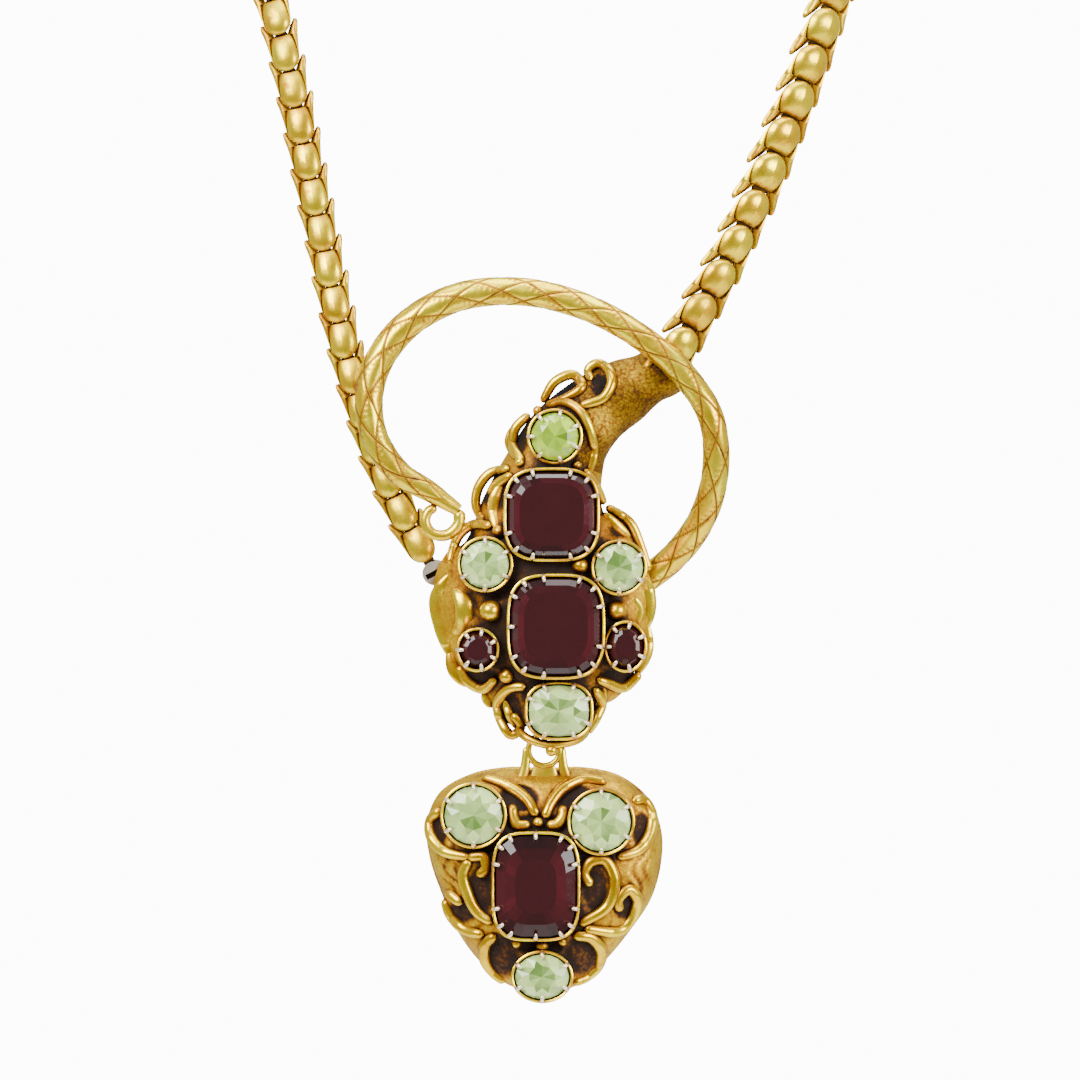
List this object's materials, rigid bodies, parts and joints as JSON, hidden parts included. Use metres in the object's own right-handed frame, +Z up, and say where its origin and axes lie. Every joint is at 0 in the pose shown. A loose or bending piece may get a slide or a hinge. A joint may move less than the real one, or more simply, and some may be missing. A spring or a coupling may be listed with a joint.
{
  "type": "snake necklace",
  "caption": "Gold snake necklace of hollow scale links, with a rigid coiled tail, a jewelled head and a hinged jewelled heart hanging from its mouth.",
  "frame": {"origin": "the nape, where the middle of the chain rests on the back of the neck", "axes": "+Z up along the hanging necklace, the jewelled front faces -Y, +X is the wearer's left"},
  "size_m": [0.1042, 0.1124, 0.1665],
  "materials": {
    "chain_gold": "polished yellow gold with small dents and brown tarnish between the scales",
    "clasp_gold": "worn pale gold",
    "hoop_gold": "polished yellow gold with engraved lozenges",
    "head_gold": "chased yellow gold, matted and dark in the recesses",
    "heart_gold": "chased yellow gold, matted and dark in the recesses",
    "garnet": "deep brownish red, faceted and polished",
    "peridot": "pale yellow green, faceted and polished"
  },
  "bodies": {
    "snake": {"chain": "chain_gold", "clasp": "clasp_gold", "tail_hoop": "hoop_gold", "head": "head_gold", "head_peridot_top": "peridot", "head_garnet_upper": "garnet", "head_peridot_left": "peridot", "head_peridot_right": "peridot", "head_garnet_lower": "garnet", "head_garnet_left": "garnet", "head_garnet_right": "garnet", "head_peridot_bottom": "peridot"},
    "heart": {"heart": "heart_gold", "heart_garnet": "garnet", "heart_peridot_left": "peridot", "heart_peridot_right": "peridot", "heart_peridot_bottom": "peridot"}
  },
  "joints": [
    {"name": "heart_swing", "type": "hinge", "parent": "snake", "child": "heart", "pos_m": [0.0004, -0.1048, -0.1385], "axis": [-1, 0, 0], "range_deg": [-60, 30]}
  ]
}
